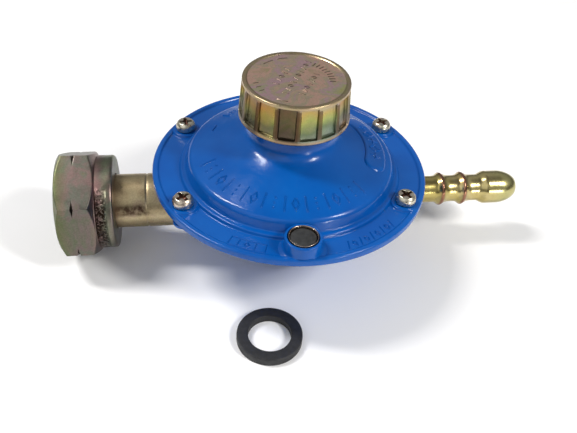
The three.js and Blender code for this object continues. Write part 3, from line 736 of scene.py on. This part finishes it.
def nutShell():
    # outside: the smallest of the hexagon's flats, two chamfer cones and a notch round the middle;
    # inside: a bore whose radius rises and falls along a left-handed helix
    size = nutSize
    u = np.linspace(-1, 1, 44, endpoint=False)
    within = 30 * np.sign(u) * np.abs(u) ** 1.5
    degrees = (60 * np.arange(6)[:, None] + within[None, :]).reshape(-1)
    fromFlat = np.radians(30 - np.abs(np.tile(within, 6)))[:, None]
    angle = np.radians(180 - size["corner"] + degrees)[:, None]
    x = np.concatenate([
        np.linspace(-70, -67.8, 12), np.linspace(-67.4, -65.9, 5), np.linspace(-65.6, -63.7, 17),
        np.linspace(-63.3, -61.4, 6), np.linspace(-61.1, -58.7, 14)])[None, :]
    hexagon = size["flats"] / 2 / np.cos(fromFlat) + 0 * x
    frontCone = size["chamferStart"] + size["chamferRise"] * (x - size["front"]) + 0 * fromFlat
    backCone = size["chamferStart"] + size["chamferRise"] * (size["hexEnd"] - x) + 0 * fromFlat
    notch = size["notchFloor"] + size["notchSlope"] * np.abs(x - size["notchMiddle"]) + 0 * fromFlat
    sides = np.stack([hexagon, frontCone, backCone, notch])
    lowest = sides.min(0)
    outer = lowest - size["softness"] * np.log(np.exp(-(sides - lowest) / size["softness"]).sum(0))
    collar = softProfile([
        (-58.62, size["collarRadius"], 0), (size["back"], size["collarRadius"], 0.9),
        (size["back"], size["backBore"], 0.25),
        (size["shoulder"], size["backBore"], 0.1), (size["shoulder"], size["bore"], 0)], steps=8)
    boreX = np.linspace(-57.4, -68.6, size["boreSteps"])
    mouth = softProfile([(-68.8, size["bore"], 0), (size["front"], 12.4, 0.3), (size["front"], 14.3, 0)])
    thread = np.stack([boreX, np.full(size["boreSteps"], size["bore"])], -1)
    rest = np.concatenate([collar, thread, mouth])
    columns = np.concatenate([x[0], rest[:, 0]])[None, :]
    radius = np.concatenate([outer, np.broadcast_to(rest[:, 1][None, :], (len(angle), len(rest)))], 1)
    inBore = np.zeros(radius.shape[1], bool)
    start = x.shape[1] + len(collar)
    inBore[start:start + size["boreSteps"]] = True
    wave = 0.5 + 0.5 * np.cos(fullTurn * columns / size["threadPitch"] + angle)
    radius = radius + inBore[None, :] * size["threadDepth"] * (wave - 1)
    y = np.cos(angle) * radius
    z = pipeHeight + np.sin(angle) * radius
    return np.stack([np.broadcast_to(columns, y.shape), y, z], -1), True, True


nut = makePiece("union_nut_body", [nutShell()], nutPlating, ["union_nut"], sharp=38)
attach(nut, "union_nut")


stemProfile = softProfile([
    (-60.6, 3.5, 0.15), (-60.6, 10.3, 0.4), (-58.6, 10.3, 0.3), (-58.6, 8.3, 0.15), (-44.5, 8.3, 0.25),
    (-44.2, 8.12, 0.2), (-43.9, 8.12, 0.2), (-43.6, 8.3, 0.25), (-36.4, 8.3, 0.35), (-36.4, 5.6, 0),
    (-28.9, 5.6, 0.3), (-28.9, 3.5, 0.2)], closed=True)
stem = makePiece("inlet_stem_tube", [(spinX(stemProfile, 160), True, True)], stemPlating,
                 ["inlet_stem"])
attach(stem, "housing")
slipProfile = softProfile([
    (-58.3, 8.6, 0.15), (-58.3, 10.5, 0.15), (-57.4, 10.5, 0.15), (-57.4, 8.6, 0.15)], closed=True)
slip = makePiece("slip_ring", [(spinX(slipProfile, 96), True, True)], turnedBrass, ["nut_slip_ring"])
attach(slip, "slip_ring")
sealProfile = softProfile([
    (-36.1, 5.9, 0.1), (-36.1, 8.2, 0.2), (-35.3, 8.2, 0.2), (-35.3, 5.9, 0.1)], closed=True)
seal = makePiece("stem_seal_ring", [(spinX(sealProfile, 96), True, True)], softCopper,
                 ["stem_seal"])
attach(seal, "housing")


barbSize = {"stalk": 4.35, "crest": 5.42, "crests": (50.6, 58.0), "before": 1.05, "after": 1.45,
            "bulbStart": 63.4, "bulbFull": 66.4, "bulbRound": 70.2, "noseLength": 7.7, "tip": 76.5,
            "bore": 2.6, "inner": 31.0}


def barbShell():
    # the stalk's radius plus one bell for each crest and a smooth step up to the bulb, all times the
    # falling side of an ellipse at the nose
    size = barbSize
    x = np.concatenate([np.linspace(39.4, 63.2, 150), np.linspace(size["bulbStart"], size["tip"], 70)])
    rise = size["crest"] - size["stalk"]
    bells = np.zeros(x.shape)
    for crest in size["crests"]:
        width = np.where(x < crest, size["before"], size["after"])
        bells = bells + np.exp(-np.abs((x - crest) / width) ** 1.7)
    radius = size["stalk"] + rise * bells
    radius = radius + rise * smoothStep(size["bulbStart"], size["bulbFull"], x)
    nose = np.clip((x - size["bulbRound"]) / size["noseLength"], 0, 0.999)
    radius = radius * np.sqrt(1 - nose ** 2)
    root = softProfile([
        (size["inner"], size["bore"], 0), (size["inner"], 5.0, 0.3), (36.4, 5.0, 0), (36.4, 5.8, 0.15),
        (38.5, 5.8, 0.25), (39.2, size["stalk"], 0.3), (39.4, size["stalk"], 0)])
    end = softProfile([
        (size["tip"], 3.0, 0), (size["tip"], size["bore"], 0.15), (size["inner"], size["bore"], 0)])
    profile = np.concatenate([root, np.stack([x, radius], -1), end[1:-1]])
    rubbed = np.concatenate([np.zeros(len(root)), smoothStep(0.55, 0.95, bells), np.zeros(len(end) - 2)])
    return spinX(profile, 128), True, True, np.tile(rubbed, (128, 1))


barb = makePiece("hose_barb", [barbShell()], barbPlating, ["outlet_barb"], sharp=40)
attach(barb, "housing")
barbSealProfile = softProfile([
    (35.3, 5.3, 0.1), (35.3, 6.4, 0.15), (36.1, 6.4, 0.15), (36.1, 5.3, 0.1)], closed=True)
barbSeal = makePiece("barb_seal_ring", [(spinX(barbSealProfile, 72), True, True)], softCopper,
                     ["barb_seal"])
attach(barbSeal, "housing")


washerSize = {"outer": 9.6, "inner": 6.3, "thick": 2.6, "centre": (-9.9, -42.9)}
washerProfile = softProfile([
    (washerSize["inner"], 0, 0.25), (washerSize["outer"], 0, 0.25),
    (washerSize["outer"], washerSize["thick"], 0.35), (washerSize["inner"], washerSize["thick"], 0.35)],
    closed=True)
washer = makePiece("rubber_washer", [(spinZ(washerProfile, 128, washerSize["centre"]), True, True)],
                   blackRubber, ["inlet_washer"])
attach(washer, "inlet_washer")
print("inlet, outlet and washer made")


bodySize = {"foot": 13.4, "floor": 3.0, "flangeUnder": 24.8, "seat": 27.2, "flangeRadius": 38.8,
            "bossFace": 35.0}


def bodyShells():
    # a bowl turned about the knob's axis, two bosses turned about the pipe axis and a post at each screw
    size = bodySize
    bowl = softProfile([
        (0, 0, 0), (size["foot"], 0, 0.8), (size["foot"] + 1, 0.6, 0.5), (19, 5.6, 1), (24, 10.7, 1),
        (29, 16, 1.5), (32.4, 20.4, 1.5), (33, size["flangeUnder"], 0.8),
        (size["flangeRadius"] - 1.2, size["flangeUnder"], 0.5), (size["flangeRadius"], 26.2, 0.5),
        (size["flangeRadius"], size["seat"], 0.2), (31, size["seat"], 0.4), (29.8, 20.6, 1.2), (27, 17, 1),
        (18, 7.8, 1), (13, size["floor"], 0.8), (0, size["floor"], 0)])
    shells = [(spinZ(bowl, 216), True, False)]
    inlet = softProfile([
        (-size["bossFace"], 5.9, 0), (-size["bossFace"], 8.7, 0.5), (-29.8, 8.7, 1.0), (-27.5, 9.4, 0.8),
        (-27.3, 5.9, 0)], closed=True)
    outlet = softProfile([
        (size["bossFace"], 5.3, 0), (size["bossFace"], 6.8, 0.5), (31.0, 6.8, 1.0), (27.0, 8.0, 0.8),
        (26.0, 5.3, 0)], closed=True)
    shells += [(spinX(inlet, 96), True, True), (spinX(outlet, 96), True, True)]
    post = softProfile([(2.0, 24.0, 0.15), (3.2, 24.0, 0.3), (3.2, 25.0, 0), (2.0, 25.0, 0)], closed=True)
    for degrees in screwAngles:
        shells.append((spinZ(post, 36, polar(coverSize["screwCircle"], degrees)), True, True))
    return shells


body = makePiece("body_casting", bodyShells(), paint, ["lower_body"], sharp=45)
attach(body, "housing")
print("lower body made")


diaphragmProfile = softProfile([
    (1.9, 25.2, 0.1), (22.6, 25.2, 0.8), (25.5, 24.9, 1.0), (28.5, 27.5, 0.8), (38.8, 27.5, 0.1),
    (38.8, 28.3, 0.1), (28.1, 28.3, 0.8), (25.4, 25.75, 1.0), (22.6, 26.0, 0.8), (1.9, 26.0, 0.1)],
    closed=True)
membrane = makePiece("rubber_membrane", [(spinZ(diaphragmProfile, 144), True, True)], blackRubber,
                     ["diaphragm"])
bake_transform(membrane)


def coilShell(meanRadius, wireRadius, low, high, turns):
    # a circle carried along a helix, which closes to a point at both ends
    stations = int(turns * 40)
    t = np.linspace(0, 1, stations)[:, None]
    closing = np.minimum(1, np.minimum(t, 1 - t) * stations / 2.0)
    around = np.linspace(0, fullTurn, 12, endpoint=False)[None, :]
    turn = fullTurn * turns * t
    radius = meanRadius + wireRadius * closing * np.cos(around)
    height = low + wireRadius + (high - low - 2 * wireRadius) * t + wireRadius * closing * np.sin(around)
    return np.stack([np.cos(turn) * radius, np.sin(turn) * radius, height], -1), False, True


coilSize = {"meanRadius": 7.1, "wireRadius": 0.75, "foot": 27.5, "middle": 35.5, "head": 43.5, "turns": 3}
reliefSize = {"meanRadius": 2.9, "wireRadius": 0.35, "foot": 27.5, "head": 33.1, "turns": 4}
# one spring in two lengths of three turns: the lower from the diaphragm plate up to the middle, the upper
# from the middle to the seat
lowerShell = coilShell(coilSize["meanRadius"], coilSize["wireRadius"], coilSize["foot"],
                       coilSize["middle"] + coilSize["wireRadius"], coilSize["turns"])
lowerCoil = makePiece("main_coil_lower", [lowerShell], springWire, ["main_spring"])
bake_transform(lowerCoil)
upperShell = coilShell(coilSize["meanRadius"], coilSize["wireRadius"],
                       coilSize["middle"] - coilSize["wireRadius"], coilSize["head"], coilSize["turns"])
upperCoil = makePiece("main_coil_upper", [upperShell], springWire, ["main_spring"])
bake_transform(upperCoil)
reliefShell = coilShell(*reliefSize.values())
reliefSpring = makePiece("relief_coil", [reliefShell], springWire, ["relief_spring"])
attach(reliefSpring, "diaphragm_group")


carried = {
    "adjusting_screw": turnedBrass, "spring_seat": brightZinc, "diaphragm_plate": brightZinc,
    "diaphragm_post": turnedBrass, "relief_nut": turnedBrass, "lever": brightZinc, "lever_pin": springWire,
    "valve_slide": turnedBrass, "valve_pad": blackRubber, "orifice_nozzle": turnedBrass,
    "inlet_filter": turnedBrass,
}
for name, material in carried.items():
    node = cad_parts[name]
    node.data.materials.clear()
    node.data.materials.append(material)
print("inner pieces made")


stageLook = {"floorColour": (0.97, 0.97, 0.97), "worldStrength": 1.0,
             "sky": [(0.0, (0.16, 0.16, 0.16)), (0.05, (0.12, 0.12, 0.12)), (0.20, (0.13, 0.13, 0.13)),
                     (0.38, (0.33, 0.34, 0.35)), (0.72, (0.42, 0.43, 0.44)), (0.92, (0.16, 0.16, 0.17)),
                     (1.0, (0.14, 0.14, 0.15))]}
floorMesh = bpy.data.meshes.new("floor")
floorMesh.from_pydata([(-4, -4, 0), (4, -4, 0), (4, 4, 0), (-4, 4, 0)], [], [(0, 1, 2, 3)])
floor = bpy.data.objects.new("floor", floorMesh)
bpy.context.scene.collection.objects.link(floor)
floorMaterial = newMaterial("floor_paper", **{
    "Roughness": 0.9, "Base Color": (*stageLook["floorColour"], 1)})[0]
floorMesh.materials.append(floorMaterial)

world = bpy.data.worlds.new("studio")
world.use_nodes = True
skyTree = world.node_tree
skyHeight = axisValues(skyTree, addNode(skyTree, "ShaderNodeTexCoord").outputs["Generated"])[2]
skyTree.links.new(ramp(skyTree, skyHeight, stageLook["sky"]), skyTree.nodes["Background"].inputs["Color"])
skyTree.nodes["Background"].inputs["Strength"].default_value = stageLook["worldStrength"]
bpy.context.scene.world = world

lights = {
    "left_window": {"at": (-0.50, 0.18, 0.82), "size": (0.12, 0.34), "power": 5.8, "colour": (1, 0.98, 0.96)},
    "right_window": {"at": (0.54, -0.4, 0.66), "size": (0.12, 0.22), "power": 4.6, "colour": (1, 0.98, 0.95)},
    "soft_fill": {"at": (-0.62, -0.62, 0.80), "size": (1.0, 1.0), "power": 1.8, "colour": (1, 1, 1)},
    "low_strip": {"at": (0.40, -0.66, 0.07), "size": (0.12, 0.08), "power": 0.9, "colour": (1, 0.99, 0.97)},
}
aimedAt = Vector((0, 0, 0.03))
for name, light in lights.items():
    lamp = bpy.data.lights.new(name, "AREA")
    lamp.shape = "RECTANGLE"
    lamp.size, lamp.size_y = light["size"]
    lamp.energy = light["power"]
    lamp.color = light["colour"]
    holder = bpy.data.objects.new(name, lamp)
    holder.location = light["at"]
    holder.rotation_euler = (Vector(light["at"]) - aimedAt).to_track_quat("Z", "Y").to_euler()
    bpy.context.scene.collection.objects.link(holder)

cameraPlace = {"azimuth": -10.85, "elevation": 41.9, "roll": 4.83, "at": (-0.03017, -0.16230, 0.15697),
               "focalShare": 668 / 577, "sensor": 36.0}
azimuth, elevation, roll = (math.radians(cameraPlace[key]) for key in ("azimuth", "elevation", "roll"))
away = math.cos(elevation)
back = Vector((math.sin(azimuth) * away, -math.cos(azimuth) * away, math.sin(elevation)))
level = (-back).cross(Vector((0, 0, 1))).normalized()
rise = level.cross(-back)
right = level * math.cos(roll) + rise * math.sin(roll)
up = rise * math.cos(roll) - level * math.sin(roll)
lens = bpy.data.cameras.new("camera")
lens.sensor_width = cameraPlace["sensor"]
lens.lens = cameraPlace["sensor"] * cameraPlace["focalShare"]
lens.clip_start = 0.01
camera = bpy.data.objects.new("camera", lens)
camera.matrix_world = Matrix((
    (right.x, up.x, back.x, cameraPlace["at"][0]), (right.y, up.y, back.y, cameraPlace["at"][1]),
    (right.z, up.z, back.z, cameraPlace["at"][2]), (0, 0, 0, 1)))
bpy.context.scene.collection.objects.link(camera)
bpy.context.scene.camera = camera
bpy.context.scene.view_settings.view_transform = "Standard"
print("stage made")

bpy.context.view_layer.update()
